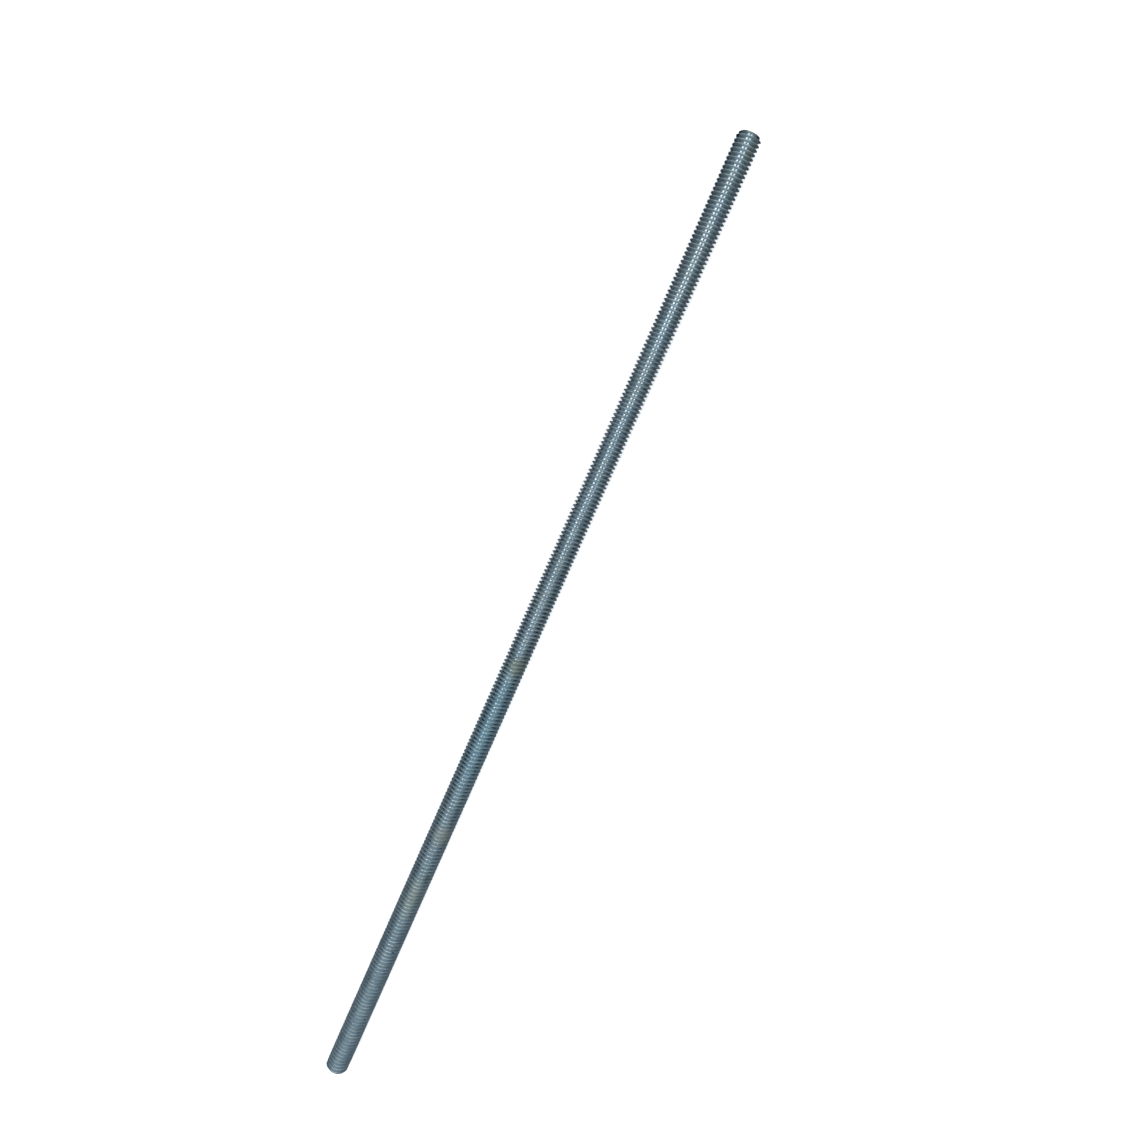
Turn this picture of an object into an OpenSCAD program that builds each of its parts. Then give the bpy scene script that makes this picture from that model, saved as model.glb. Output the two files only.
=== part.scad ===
// Fully threaded rod, cut to length and chamfered at both ends.
// The rod lies along X with its middle at the origin. Its outside is the cylinder that the
// thread crests lie on, which is the size that nuts, clips and clearance holes meet.

/* [Thread] */
// Nominal diameter of the metric coarse thread
nominal_d = 6; // [3:0.5:20]
// Pitch, from one crest to the next
pitch = 1; // [0.5:0.05:2.5]
// How much smaller the finished crests measure than the nominal diameter
crest_allowance = 0.2; // [0:0.05:0.4]

/* [Rod] */
// Length from end face to end face
rod_length = 250; // [20:1:1000]

/* [Ends] */
// Angle between each chamfer and the rod's axis
chamfer_angle = 45; // [30:1:60]
// How far inside the thread roots each chamfer ends, measured on the radius
root_clearance = 0.15; // [0:0.05:0.5]

/* [Hidden] */
$fn = 96;

// Depth of a 60-degree external thread with a flat crest and a rounded root, in pitches
depth_per_pitch = 0.6134;

crest_r = (nominal_d - crest_allowance) / 2;
root_r = crest_r - depth_per_pitch * pitch;
end_r = root_r - root_clearance;
chamfer_length = (crest_r - end_r) / tan(chamfer_angle);

// Half of the rod's lengthwise section as [radius, distance along the axis] from one end face
// to the other: a chamfer, the straight crest line and the other chamfer.
module half_section(length) {
    polygon([
        [0, 0],
        [end_r, 0],
        [crest_r, chamfer_length],
        [crest_r, length - chamfer_length],
        [end_r, length],
        [0, length]
    ]);
}

module rod() {
    color("lightslategray")
        translate([-rod_length / 2, 0, 0])
            rotate([0, 90, 0])
                rotate_extrude()
                    half_section(rod_length);
}

rod();
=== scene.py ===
import math

import bpy
import numpy as np
from mathutils import Matrix, Vector


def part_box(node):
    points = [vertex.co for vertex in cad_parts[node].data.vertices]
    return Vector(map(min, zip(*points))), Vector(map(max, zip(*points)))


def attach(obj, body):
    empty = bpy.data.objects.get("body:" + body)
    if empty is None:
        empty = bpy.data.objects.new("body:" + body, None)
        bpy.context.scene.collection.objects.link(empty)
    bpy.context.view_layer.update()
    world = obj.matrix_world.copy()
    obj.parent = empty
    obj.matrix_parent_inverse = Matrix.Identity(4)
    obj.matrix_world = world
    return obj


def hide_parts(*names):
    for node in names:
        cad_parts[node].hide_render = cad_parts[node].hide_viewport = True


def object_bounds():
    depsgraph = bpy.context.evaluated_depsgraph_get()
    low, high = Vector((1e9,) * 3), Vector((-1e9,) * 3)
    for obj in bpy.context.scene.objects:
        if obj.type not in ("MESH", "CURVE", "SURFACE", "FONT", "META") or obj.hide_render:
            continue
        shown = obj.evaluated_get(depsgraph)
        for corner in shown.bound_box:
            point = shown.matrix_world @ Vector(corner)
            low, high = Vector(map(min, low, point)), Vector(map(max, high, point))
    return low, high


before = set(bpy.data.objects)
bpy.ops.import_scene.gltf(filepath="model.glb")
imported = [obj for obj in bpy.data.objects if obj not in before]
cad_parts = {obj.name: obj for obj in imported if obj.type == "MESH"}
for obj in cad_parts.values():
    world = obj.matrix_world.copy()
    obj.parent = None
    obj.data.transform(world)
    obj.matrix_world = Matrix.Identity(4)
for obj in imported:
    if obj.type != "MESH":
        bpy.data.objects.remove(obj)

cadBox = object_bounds()
scene = bpy.context.scene


# Threaded rod. The thread runs right-hand about +X from one end face to the other.
rod = {
    "node": "rod",
    "slot": "zinc_plate",
    "pitch": 0.001,             # one turn of the thread
    "crestRounding": 0.00006,   # radius over the crests
    "rootRounding": 0.000052,   # radius along the roots
    "flankAngle": 30.0,         # each flank against a plane across the rod
    "startAngle": 127.0,        # turns the whole thread about the axis
    "columns": 36,              # steps round one turn
    "arcSteps": 4,              # steps over a crest or along a root
    "fineSplit": 4,             # extra rows in the first and last turns, where the chamfer cuts
    "fineTurns": 2,
    "capRings": 4,              # rings of faces across each end face
}


# How far the crest and root arcs turn before they meet a flank: a right angle less the flank angle.
def arcEdge():
    return math.radians(90 - rod["flankAngle"])


# Radial height of a flank's straight part: the half pitch that the two arcs leave free, divided by
# the tangent of the flank angle.
def flankHeight():
    edge = arcEdge()
    arcWidth = (rod["crestRounding"] + rod["rootRounding"]) * math.sin(edge)
    return (rod["pitch"] / 2 - arcWidth) / math.tan(math.pi / 2 - edge)


# Crest to root: the drop over both arcs and the straight part between them.
def threadDepth():
    return (rod["crestRounding"] + rod["rootRounding"]) * (1 - math.cos(arcEdge())) + flankHeight()


# One pitch of the thread as (way along the axis, radius, tilt of the normal), from crest to crest:
# half a crest arc, a straight flank, the root arc, the other flank and half a crest arc.
# u counts the steps, so whole numbers are the coarse rows and fractions lie between them.
def threadProfile(u, crestLine):
    arc = rod["arcSteps"]
    steps = 2 * arc + 2
    edge = arcEdge()
    crest, root, pitch = rod["crestRounding"], rod["rootRounding"], rod["pitch"]
    lean = math.tan(math.radians(rod["flankAngle"]))
    flank, depth = flankHeight(), threadDepth()
    turn = np.floor(u / steps)
    k = u - turn * steps
    half = arc / 2
    mirrored = k > steps / 2
    k = np.where(mirrored, steps - k, k)
    tilt = np.where(k < half, k / half, np.where(k > half + 1, (steps / 2 - k) / half, 1.0)) * edge
    onFlank = np.clip(k - half, 0.0, 1.0)
    crestAlong = crest * np.sin(tilt)
    crestDrop = crest * (1 - np.cos(tilt))
    rootAlong = pitch / 2 - root * np.sin(tilt)
    rootDrop = depth - root * (1 - np.cos(tilt))
    flankAlong = crest * math.sin(edge) + onFlank * flank * lean
    flankDrop = crest * (1 - math.cos(edge)) + onFlank * flank
    along = np.where(k < half, crestAlong, np.where(k > half + 1, rootAlong, flankAlong))
    drop = np.where(k < half, crestDrop, np.where(k > half + 1, rootDrop, flankDrop))
    along = np.where(mirrored, pitch - along, along)
    tilt = np.where(mirrored, -tilt, tilt)
    return turn * pitch + along, crestLine - drop, tilt


# Rows follow the helix: row u at column i lies at profile(u) + pitch * i / columns along the axis,
# and its radius is the smaller of the thread's and the chamfer cone's. Past an end face every row
# gathers on that face's rim. Column 0 of a row ends the row one turn before it, as one vertex.
# Normals tilt with the profile and twist with the helix, or stand square on the chamfer cone.
def threadMesh(name, length, crestLine, rimRadius, chamferLength):
    columns, split = rod["columns"], rod["fineSplit"]
    steps = 2 * rod["arcSteps"] + 2
    turns = int(round(length / rod["pitch"]))
    fine = rod["fineTurns"] * steps
    last = turns * steps
    u = np.concatenate([
        np.arange(-steps, fine, 1 / split),
        np.arange(fine, last - fine),
        np.arange(last - fine, last + 1 / split, 1 / split),
    ])
    rows = len(u)
    along, radius, tilt = threadProfile(u, crestLine)
    column = np.arange(columns)
    x = along[:, None] + rod["pitch"] * column[None, :] / columns
    r = np.repeat(radius[:, None], columns, 1)
    a = np.repeat(tilt[:, None], columns, 1)
    slope = (crestLine - rimRadius) / chamferLength
    coneTilt = math.atan(slope)
    nearCone = rimRadius + slope * x
    farCone = rimRadius + slope * (length - x)
    a = np.where(nearCone < r, -coneTilt, a)
    a = np.where(farCone < r, coneTilt, a)
    r = np.minimum(r, np.minimum(nearCone, farCone))

    # one number for each vertex: the body rows, then the two rims
    index = np.arange(rows * columns).reshape(rows, columns)
    rimStart = rows * columns
    index = np.where(x <= 0, rimStart + column[None, :], index)
    index = np.where(x >= length, rimStart + columns + column[None, :], index)
    # a fine row whose partner one turn before is coarse joins the nearest coarse row at column 0
    rowOf = {round(v * split): i for i, v in enumerate(u)}
    joined = (u > last - fine) & (u < last - fine + steps)
    whole = np.array([rowOf[int(round(v)) * split] for v in u[joined]])
    index[joined, 0] = index[whole, 0]
    partner = [rowOf.get(round((v + steps) * split), rowOf.get(int(round(v + steps)) * split)) for v in u]
    wrap = np.array([index[p, 0] if p is not None else rimStart + columns for p in partner])
    full = np.concatenate([index, wrap[:, None]], 1)

    angle = 2 * math.pi * column / columns + math.radians(rod["startAngle"])
    cosA, sinA = np.cos(angle), np.sin(angle)
    body = np.stack([x - length / 2, r * cosA, r * sinA], 2).reshape(-1, 3)
    twist = rod["pitch"] / (2 * math.pi * r)
    nx, nr, nt = np.sin(a), np.cos(a), -np.sin(a) * twist
    onCone = (nearCone <= r) | (farCone <= r)
    nt = np.where(onCone, 0.0, nt)
    bodyNormals = np.stack([nx, nr * cosA - nt * sinA, nr * sinA + nt * cosA], 2).reshape(-1, 3)
    rims = np.concatenate([
        np.stack([np.full(columns, side * length / 2), rimRadius * cosA, rimRadius * sinA], 1)
        for side in (-1, 1)
    ])
    rimNormals = np.concatenate([
        np.stack([np.full(columns, side * math.sin(coneTilt)), math.cos(coneTilt) * cosA,
                  math.cos(coneTilt) * sinA], 1)
        for side in (-1, 1)
    ])

    # rings across each end face, then its middle
    rings = rod["capRings"]
    share = 1 - np.arange(1, rings) / rings
    caps, capFaces = [], []
    nextVertex = rimStart + 2 * columns
    for side in (-1, 1):
        ringPoints = np.stack([
            np.full((rings - 1, columns), side * length / 2),
            rimRadius * share[:, None] * cosA[None, :],
            rimRadius * share[:, None] * sinA[None, :],
        ], 2).reshape(-1, 3)
        caps.append(ringPoints)
        caps.append(np.array([[side * length / 2, 0.0, 0.0]]))
        outer = rimStart + (0 if side < 0 else columns) + column
        for k in range(rings):
            inner = nextVertex + k * columns + column
            if k == rings - 1:
                inner = np.full(columns, nextVertex + k * columns)
            quad = np.stack([outer, np.roll(outer, -1), np.roll(inner, -1), inner], 1)
            capFaces.append(quad[:, ::-1] if side < 0 else quad)
            outer = inner
        nextVertex += (rings - 1) * columns + 1
    capPoints = np.concatenate(caps)
    capSide = np.sign(capPoints[:, 0])

    points = np.concatenate([body, rims, capPoints])
    normals = np.concatenate([bodyNormals, rimNormals, np.stack([capSide, 0 * capSide, 0 * capSide], 1)])
    normals /= np.linalg.norm(normals, axis=1)[:, None]

    quads = np.stack([full[:-1, :-1], full[:-1, 1:], full[1:, 1:], full[1:, :-1]], 2).reshape(-1, 4)
    capQuads = np.concatenate(capFaces)
    faces = np.concatenate([quads, capQuads])
    isCap = np.concatenate([np.zeros(len(quads), bool), np.ones(len(capQuads), bool)])
    faceSide = np.concatenate([np.zeros(len(quads)), np.repeat([-1.0, 1.0], len(capQuads) // 2)])

    # a quad with two corners in one vertex is a triangle, and one with fewer is dropped
    same = faces == np.roll(faces, -1, 1)
    opposite = (faces[:, 0] == faces[:, 2]) | (faces[:, 1] == faces[:, 3])
    keep = (same.sum(1) <= 1) & ~opposite
    faces, isCap, faceSide, same = faces[keep], isCap[keep], faceSide[keep], same[keep]
    count = np.where(same.any(1), 3, 4)
    corners = faces[~same]
    loopSide = np.repeat(faceSide, count)
    loopCap = np.repeat(isCap, count)
    used, corners = np.unique(corners, return_inverse=True)
    points, normals = points[used], normals[used]
    loopNormals = normals[corners]
    loopNormals[loopCap] = 0.0
    loopNormals[loopCap, 0] = loopSide[loopCap]

    mesh = bpy.data.meshes.new(name)
    mesh.vertices.add(len(points))
    mesh.vertices.foreach_set("co", points.astype(np.float32).ravel())
    mesh.loops.add(len(corners))
    mesh.loops.foreach_set("vertex_index", corners.astype(np.int32).ravel())
    mesh.polygons.add(len(count))
    starts = np.concatenate([[0], np.cumsum(count)[:-1]])
    mesh.polygons.foreach_set("loop_start", starts.astype(np.int32))
    mesh.update(calc_edges=True)
    mesh.validate()
    mesh.shade_smooth()
    mesh.normals_split_custom_set(loopNormals)
    triangles = int((count - 2).sum())
    print("thread:", len(points), "vertices,", triangles, "triangles")
    return mesh


# Length, crest radius, radius of the end face's rim and length of the chamfer, read off the CAD node.
# The crest radius is the smaller of its reaches along Y and Z, the rim is the farthest point on the
# +X face, and the chamfer runs from there to the last point that lies a full radius out.
def rodSizes():
    low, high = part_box(rod["node"])
    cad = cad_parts[rod["node"]].data
    points = np.zeros(len(cad.vertices) * 3)
    cad.vertices.foreach_get("co", points)
    points = points.reshape(-1, 3)
    reach = np.hypot(points[:, 1], points[:, 2])
    small = (high.x - low.x) * 1e-5
    rim = reach[points[:, 0] > high.x - small].max()
    crestEnd = points[reach > reach.max() - small, 0].max()
    return high.x - low.x, min(high.y, high.z), float(rim), float(high.x - crestEnd)


# Adds a node; an input is either another node's output, which is linked, or a fixed value.
def addNode(tree, kind, inputs=None, **settings):
    node = tree.nodes.new(kind)
    for name, value in settings.items():
        setattr(node, name, value)
    for name, value in (inputs or {}).items():
        if isinstance(value, bpy.types.NodeSocket):
            tree.links.new(value, node.inputs[name])
        else:
            node.inputs[name].default_value = value
    return node


# One operation on two numbers.
def maths(tree, operation, first, second=0.0):
    return addNode(tree, "ShaderNodeMath", {0: first, 1: second}, operation=operation).outputs[0]


# Goes smoothly from 0 at low to 1 at high, or from 1 to 0 where low is the larger.
def ramp(tree, value, low, high):
    inputs = {"Value": value, "From Min": low, "From Max": high}
    return addNode(tree, "ShaderNodeMapRange", inputs, interpolation_type="SMOOTHSTEP").outputs[0]


# Smooth noise from 0 to 1 in the object's own space, with its middle near a half.
def noise(tree, vector, scale, detail=3.0, roughness=0.5):
    inputs = {"Vector": vector, "Scale": scale, "Detail": detail, "Roughness": roughness}
    return addNode(tree, "ShaderNodeTexNoise", inputs).outputs["Fac"]


# Goes from the first colour to the second, or to their product for MULTIPLY, as factor goes from 0 to 1.
def mixColour(tree, factor, first, second, blend="MIX"):
    factorIn, firstIn, secondIn, colourOut = 0, 6, 7, 2   # a Mix node's sockets for colours
    inputs = {factorIn: factor, firstIn: first, secondIn: second}
    node = addNode(tree, "ShaderNodeMix", inputs, data_type="RGBA", blend_type=blend)
    return node.outputs[colourOut]


plating = {
    "blue": (0.69, 0.745, 0.77, 1.0),     # passivated zinc, from its blue to its grey
    "grey": (0.72, 0.75, 0.757, 1.0),
    "cloudScale": 130.0,
    "cloudBand": (0.35, 0.65),            # noise where the blue gives way to the grey
    "olive": (0.69, 0.71, 0.64, 1.0),     # faint yellow cast of the passivation
    "oliveShare": 0.2,
    "oliveScale": 75.0,
    "oliveBand": (0.55, 0.72),
    "crest": (0.49, 0.575, 0.63, 1.0),    # never closed up by the dies, so duller and darker
    "crestShare": 0.85,
    "crestBand": (0.27, 0.42),            # share of the thread depth where one becomes the other
    "usedFrom": (0.070, 0.085),           # nuts have run onto this end and polished the flanks higher up
    "usedRise": 0.17,
    "edge": (0.84, 0.89, 0.91, 1.0),      # the very crest, polished by handling
    "edgeShare": 0.9,
    "edgeBand": (0.78, 0.88),
    "wornBand": (0.30, 0.60),             # noise where the edge's polish comes and goes
    "rootPaintedShade": 0.80,                    # painted shade: brightness at the roots, and on the end faces below them
    "rootBand": (0.0, 0.35),
    "mottleScale": 1300.0,
    "mottleDepth": 0.16,
    "grooveRoughness": 0.09,              # burnished by the rolling dies
    "crestRoughness": 0.50,
    "edgeRoughness": 0.55,
    "mottledRoughness": (0.7, 0.6),       # the roughness is multiplied by the first plus the second x mottle
    "scratch": (9000.0, 500.0),           # scale along the rod and round it
    "scratchDepth": 0.0000008,
    "waveScale": 300.0,                   # slow unevenness of the rolled flanks
    "waveDepth": 0.000007,
    "faceBand": (-0.01, -0.06),           # only the end faces lie below the roots
    "faceRoughness": 0.38,
    "saw": (2600.0, 260.0),               # scale across and along the saw's lines on the end faces
    "sawDepth": 0.000004,
    "stainOrShadowRoughness": 0.6,                # dried-on stains are chalky, and the painted shadows are as rough
    "stainOrShadowBand": (1.0, 0.25),             # share of a stain's or painted shadow's reach where it starts and where it is full
    "stainOrShadowRagged": 0.9,                   # how far the mottle moves its edge
    "stainsAndPaintedShadows": [               # place in mm, reach along and across, colour, strength, how chalky
        ((-6.3, -1.0, 2.4), 4.0, 3.6, (0.59, 0.56, 0.43, 1.0), 0.55, 1.0),
        ((-53.2, -1.3, 2.5), 3.8, 4.6, (0.67, 0.68, 0.65, 1.0), 0.85, 1.0),
        ((-65.2, -1.6, 2.3), 1.4, 0.9, (0.36, 0.28, 0.19, 1.0), 0.70, 1.0),
        ((-71.0, -0.3, 2.7), 8.0, 3.6, (0.66, 0.68, 0.61, 1.0), 0.50, 1.0),
        ((-87.0, -1.3, 2.5), 0.6, 0.6, (0.10, 0.14, 0.15, 1.0), 0.80, 1.0),
        ((-24.0, 0.0, 2.6), 24.0, 7.0, (0.50, 0.69, 0.77, 1.0), 0.45, 0.0),
        ((121.0, -1.8, 2.0), 3.0, 1.6, (0.55, 0.55, 0.38, 1.0), 0.45, 1.0),
        # the last two are no stains but near-black painted shadows on the chamfer at the +X end
        ((124.5, -1.9, 1.2), 0.6, 0.7, (0.02, 0.02, 0.02, 1.0), 0.95, 1.0),
        ((123.8, 2.7, 0.9), 0.7, 1.0, (0.03, 0.03, 0.03, 1.0), 0.95, 1.0),
    ],
}


# Stain or painted shadow: 1 at its middle, falling to 0 at its reach along and across the rod.
# The distance is the length of (place - middle) / reach, and the mottle about its own middle makes
# the edge ragged.
def stainOrShadowMask(tree, place, mottle, middle, along, across):
    reaches = (along, across, across)
    perMetre, mottleMiddle = 1000, 0.5
    shift = addNode(tree, "ShaderNodeMapping", {
        "Location": [-c / r for c, r in zip(middle, reaches)],
        "Scale": [perMetre / r for r in reaches],
        "Vector": place,
    }).outputs[0]
    distance = addNode(tree, "ShaderNodeVectorMath", {0: shift}, operation="LENGTH").outputs["Value"]
    ragged = maths(tree, "SUBTRACT", mottle, mottleMiddle)
    ragged = maths(tree, "MULTIPLY", ragged, plating["stainOrShadowRagged"])
    return ramp(tree, maths(tree, "ADD", distance, ragged), *plating["stainOrShadowBand"])


# Zinc plate on the thread. Height is the distance from the axis as a share of the thread depth, 0 at
# the roots and 1 at the crests, and the colour, roughness and end faces all follow it.
def platingMaterial(crestLine, depth):
    material = bpy.data.materials.new("zincPlate")
    material.use_nodes = True
    tree = material.node_tree
    shader = tree.nodes["Principled BSDF"]
    shader.inputs["Metallic"].default_value = 1.0
    place = addNode(tree, "ShaderNodeTexCoord").outputs["Object"]
    axes = addNode(tree, "ShaderNodeSeparateXYZ", {0: place})
    reach = addNode(tree, "ShaderNodeCombineXYZ", {"Y": axes.outputs["Y"], "Z": axes.outputs["Z"]})
    reach = addNode(tree, "ShaderNodeVectorMath", {0: reach.outputs[0]}, operation="LENGTH").outputs["Value"]
    height = maths(tree, "DIVIDE", maths(tree, "SUBTRACT", reach, crestLine - depth), depth)

    # colour: slow clouds of blue and grey, a faint yellow cast in places, dull crests with worn edges
    mottle = noise(tree, place, plating["mottleScale"], detail=4.0, roughness=0.6)
    clouds = ramp(tree, noise(tree, place, plating["cloudScale"]), *plating["cloudBand"])
    colour = mixColour(tree, clouds, plating["blue"], plating["grey"])
    cast = ramp(tree, noise(tree, place, plating["oliveScale"], detail=2.0), *plating["oliveBand"])
    colour = mixColour(tree, maths(tree, "MULTIPLY", cast, plating["oliveShare"]), colour, plating["olive"])
    used = maths(tree, "MULTIPLY", ramp(tree, axes.outputs["X"], *plating["usedFrom"]), plating["usedRise"])
    dull = ramp(tree, maths(tree, "SUBTRACT", height, used), *plating["crestBand"])
    colour = mixColour(tree, maths(tree, "MULTIPLY", dull, plating["crestShare"]), colour, plating["crest"])
    worn = ramp(tree, noise(tree, place, plating["waveScale"], detail=2.0), *plating["wornBand"])
    worn = maths(tree, "MULTIPLY", ramp(tree, height, *plating["edgeBand"]), worn)
    colour = mixColour(tree, maths(tree, "MULTIPLY", worn, plating["edgeShare"]), colour, plating["edge"])

    # stains and painted shadows, and how much of the plate no chalky one covers
    bare = 1.0
    for middle, along, across, tint, strength, chalky in plating["stainsAndPaintedShadows"]:
        mask = maths(tree, "MULTIPLY", stainOrShadowMask(tree, place, mottle, middle, along, across), strength)
        colour = mixColour(tree, mask, colour, tint)
        clear = maths(tree, "SUBTRACT", 1.0, maths(tree, "MULTIPLY", mask, chalky))
        bare = maths(tree, "MULTIPLY", bare, clear)

    # shade: the mottle's light and dark, and painted shade darkening the roots and the end faces
    spread = maths(tree, "MULTIPLY", mottle, plating["mottleDepth"] * 2)
    shade = maths(tree, "ADD", 1 - plating["mottleDepth"], spread)
    # painted shade: the colour darkens towards the roots, fully at the roots and on the end faces below them
    rootLow, rootHigh = plating["rootBand"]
    rootPaintedShade = addNode(tree, "ShaderNodeMapRange", {
        "Value": height, "From Min": rootLow, "From Max": rootHigh,
        "To Min": plating["rootPaintedShade"], "To Max": 1.0,
    }).outputs[0]
    shade = maths(tree, "MULTIPLY", shade, rootPaintedShade)
    grey = addNode(tree, "ShaderNodeCombineColor", {"Red": shade, "Green": shade, "Blue": shade}).outputs[0]
    colour = mixColour(tree, 1.0, colour, grey, "MULTIPLY")
    tree.links.new(colour, shader.inputs["Base Color"])

    # roughness: burnished grooves, dull crests, chalky stains and painted shadows, sawn end faces
    roughness = addNode(tree, "ShaderNodeMapRange", {
        "Value": dull, "To Min": plating["grooveRoughness"], "To Max": plating["crestRoughness"],
    }).outputs[0]
    roughness = addNode(tree, "ShaderNodeMapRange", {
        "Value": worn, "To Min": roughness, "To Max": plating["edgeRoughness"],
    }).outputs[0]
    least, more = plating["mottledRoughness"]
    uneven = maths(tree, "ADD", least, maths(tree, "MULTIPLY", mottle, more))
    roughness = maths(tree, "MULTIPLY", roughness, uneven)
    roughness = addNode(tree, "ShaderNodeMapRange", {
        "Value": bare, "To Min": plating["stainOrShadowRoughness"], "To Max": roughness,
    }).outputs[0]
    face = ramp(tree, height, *plating["faceBand"])
    roughness = addNode(tree, "ShaderNodeMapRange", {
        "Value": face, "To Min": roughness, "To Max": plating["faceRoughness"],
    }).outputs[0]
    tree.links.new(roughness, shader.inputs["Roughness"])

    # bump: fine lines round the rod from the dies over a slow wave, and saw lines on the end faces
    alongScale, roundScale = plating["scratch"]
    stretched = addNode(tree, "ShaderNodeMapping", {
        "Vector": place, "Scale": (alongScale, roundScale, roundScale)}).outputs[0]
    lines = noise(tree, stretched, 1.0, detail=2.0)
    wave = noise(tree, place, plating["waveScale"], detail=0.5)
    coarse = addNode(tree, "ShaderNodeBump", {"Height": wave, "Distance": plating["waveDepth"]})
    fine = addNode(tree, "ShaderNodeBump", {
        "Height": lines, "Distance": plating["scratchDepth"], "Normal": coarse.outputs[0]})
    across, alongSaw = plating["saw"]
    sawn = addNode(tree, "ShaderNodeMapping", {"Vector": place, "Scale": (1.0, across, alongSaw)}).outputs[0]
    sawLines = noise(tree, sawn, 1.0, detail=2.0)
    cut = addNode(tree, "ShaderNodeBump", {
        "Strength": face, "Height": sawLines, "Distance": plating["sawDepth"], "Normal": fine.outputs[0]})
    tree.links.new(cut.outputs[0], shader.inputs["Normal"])
    return material


length, crestLine, rimRadius, chamferLength = rodSizes()
print("rod:", length, crestLine, rimRadius, chamferLength)
mesh = threadMesh("threadedRod", length, crestLine, rimRadius, chamferLength)
mesh.materials.append(platingMaterial(crestLine, threadDepth()))
threadedRod = bpy.data.objects.new("threadedRod", mesh)
scene.collection.objects.link(threadedRod)
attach(threadedRod, "root")
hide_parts(rod["node"])


# Floor
floorLook = {"size": 6.0, "colour": (0.86, 0.86, 0.86, 1.0), "roughness": 0.9}


# A level square about the origin, at the lowest point of the rod.
def makeFloor():
    half = floorLook["size"] / 2
    corners = [(x * half, y * half, cadBox[0].z) for x, y in ((-1, -1), (1, -1), (1, 1), (-1, 1))]
    mesh = bpy.data.meshes.new("floor")
    mesh.from_pydata(corners, [], [(0, 1, 2, 3)])
    material = bpy.data.materials.new("paleFloor")
    material.use_nodes = True
    shader = material.node_tree.nodes["Principled BSDF"]
    shader.inputs["Base Color"].default_value = floorLook["colour"]
    shader.inputs["Roughness"].default_value = floorLook["roughness"]
    mesh.materials.append(material)
    floor = bpy.data.objects.new("floor", mesh)
    scene.collection.objects.link(floor)
    floor.visible_glossy = False


makeFloor()
print("floor made")

# Lights
lightRig = {
    "fill": 4.2,
    "fillSpread": 130.0,          # degrees
    "panels": [  # middle, width along the rod, breadth, radiance, colour; each faces the rod
        ("leftTube", (0.38, 0.350, 0.937), 0.24, 0.32, 4.2, (1.0, 1.0, 1.0)),
        ("leftTubeMiddle", (0.13, 0.350, 0.937), 0.26, 0.32, 3.2, (1.0, 1.0, 1.0)),
        ("leftTubeEnd", (-0.08, 0.350, 0.937), 0.16, 0.32, 4.8, (1.0, 1.0, 1.0)),
        ("rightTube", (0.38, -0.300, 0.954), 0.24, 0.28, 4.0, (1.0, 1.0, 1.0)),
        ("rightTubeMiddle", (0.15, -0.300, 0.954), 0.22, 0.28, 3.3, (1.0, 1.0, 1.0)),
        ("rightTubeEnd", (-0.03, -0.292, 0.956), 0.14, 0.20, 2.0, (1.0, 1.0, 1.0)),
        ("middlePanel", (-0.335, 0.20, 1.0), 0.17, 1.2, 0.87, (0.77, 0.95, 1.0)),
        ("farPanel", (-0.735, 0.10, 1.0), 0.63, 1.9, 0.14, (0.77, 0.95, 1.0)),
        ("leftPanel", (-0.08, 1.3, 0.25), 0.45, 0.6, 0.42, (0.80, 0.95, 1.0)),
    ],
    "above": (0.27, 0.36, 0.41, 1.0),
    "aboveBand": (0.02, 0.60),    # rise of the view where the low light becomes the light above
    "lowNear": (0.12, 0.155, 0.175, 1.0),   # towards +X
    "lowFar": (0.015, 0.02, 0.025, 1.0),
    "lowBand": (-0.28, -0.12),    # way along X where one becomes the other
    "horizon": (0.92, 0.92, 0.92, 1.0),
}


# A rectangle of even light that faces the rod square from its own place along it. Its power is its
# radiance times pi times its area.
def areaLight(name, place, width, breadth, radiance, colour):
    data = bpy.data.lights.new(name, "AREA")
    data.shape = "RECTANGLE"
    data.size, data.size_y = width, breadth
    data.energy = radiance * math.pi * width * breadth
    data.color = colour
    lamp = bpy.data.objects.new(name, data)
    scene.collection.objects.link(lamp)
    back = Vector((0, place[1], place[2])).normalized()
    side = Vector((1, 0, 0))
    turn = Matrix((side, back.cross(side), back)).transposed().to_4x4()
    lamp.matrix_world = Matrix.Translation(place) @ turn


# A broad soft sun from straight above for the floor, which the metal doesn't mirror, and the panels.
def makeLights():
    data = bpy.data.lights.new("fill", "SUN")
    data.energy = lightRig["fill"]
    data.angle = math.radians(lightRig["fillSpread"])
    fill = bpy.data.objects.new("fill", data)
    scene.collection.objects.link(fill)
    fill.visible_glossy = False
    for panel in lightRig["panels"]:
        areaLight(*panel)


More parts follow.
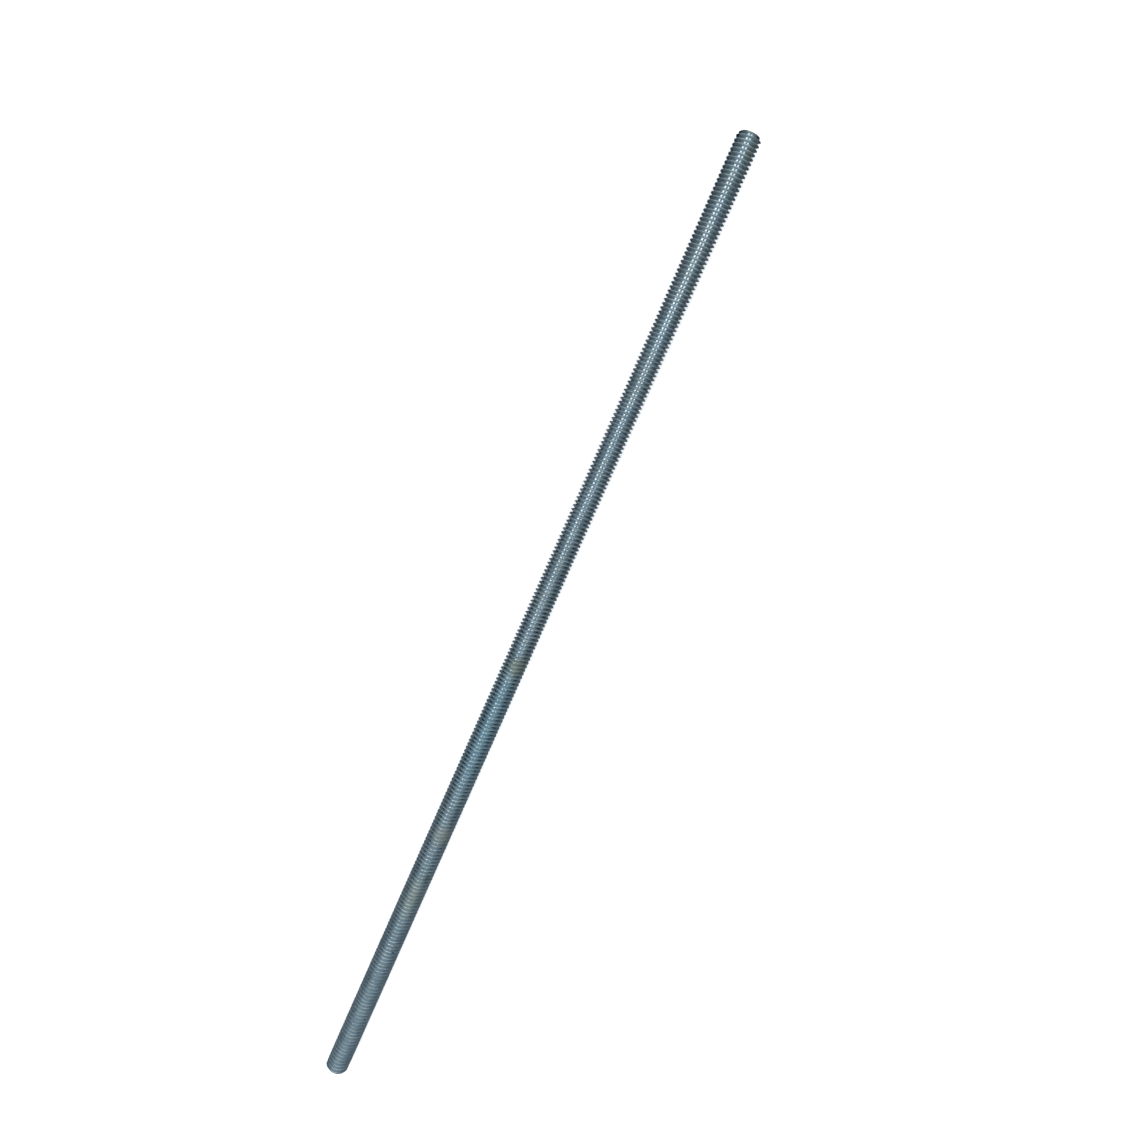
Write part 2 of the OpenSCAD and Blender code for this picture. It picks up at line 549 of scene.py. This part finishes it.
# The room that the metal sees: soft light above that fades to a dim horizon, dimmest towards -X.
# The camera sees a pale horizon.
def makeWorld():
    world = bpy.data.worlds.new("room")
    scene.world = world
    world.use_nodes = True
    tree = world.node_tree
    tree.nodes.clear()
    way = addNode(tree, "ShaderNodeTexCoord").outputs["Generated"]
    axes = addNode(tree, "ShaderNodeSeparateXYZ", {0: way})
    near = ramp(tree, axes.outputs["X"], *lightRig["lowBand"])
    low = mixColour(tree, near, lightRig["lowFar"], lightRig["lowNear"])
    rise = ramp(tree, axes.outputs["Z"], *lightRig["aboveBand"])
    colour = mixColour(tree, rise, low, lightRig["above"])
    room = addNode(tree, "ShaderNodeBackground", {"Color": colour})
    horizon = addNode(tree, "ShaderNodeBackground", {"Color": lightRig["horizon"]})
    seen = addNode(tree, "ShaderNodeLightPath").outputs["Is Camera Ray"]
    mix = addNode(tree, "ShaderNodeMixShader", {0: seen, 1: room.outputs[0], 2: horizon.outputs[0]})
    addNode(tree, "ShaderNodeOutputWorld", {"Surface": mix.outputs[0]})


makeLights()
makeWorld()
print("lights made")

# Camera, almost straight above the rod and nearer one end
view = {
    "place": (0.05958, 0.0, 0.23508),
    "aim": (0.01989, -0.00220),   # where its middle meets the floor
    "roll": 24.043,               # from +X upright in its picture, anticlockwise
    "lens": 31.946,
    "sensor": 36.0,
    "clip": (0.01, 20.0),
}


# Looks from its place to its aim with +X upright, then turns about its own line of sight by the roll.
def makeCamera():
    data = bpy.data.cameras.new("camera")
    data.lens = view["lens"]
    data.sensor_width = view["sensor"]
    data.clip_start, data.clip_end = view["clip"]
    camera = bpy.data.objects.new("camera", data)
    scene.collection.objects.link(camera)
    place = Vector(view["place"])
    back = (place - Vector((*view["aim"], cadBox[0].z))).normalized()
    right = Vector((1, 0, 0)).cross(back).normalized()
    turn = Matrix((right, back.cross(right), back)).transposed()
    turn = turn @ Matrix.Rotation(math.radians(view["roll"]), 3, "Z")
    camera.matrix_world = Matrix.Translation(place) @ turn.to_4x4()
    scene.camera = camera


makeCamera()
scene.view_settings.view_transform = "Standard"
print("camera made")
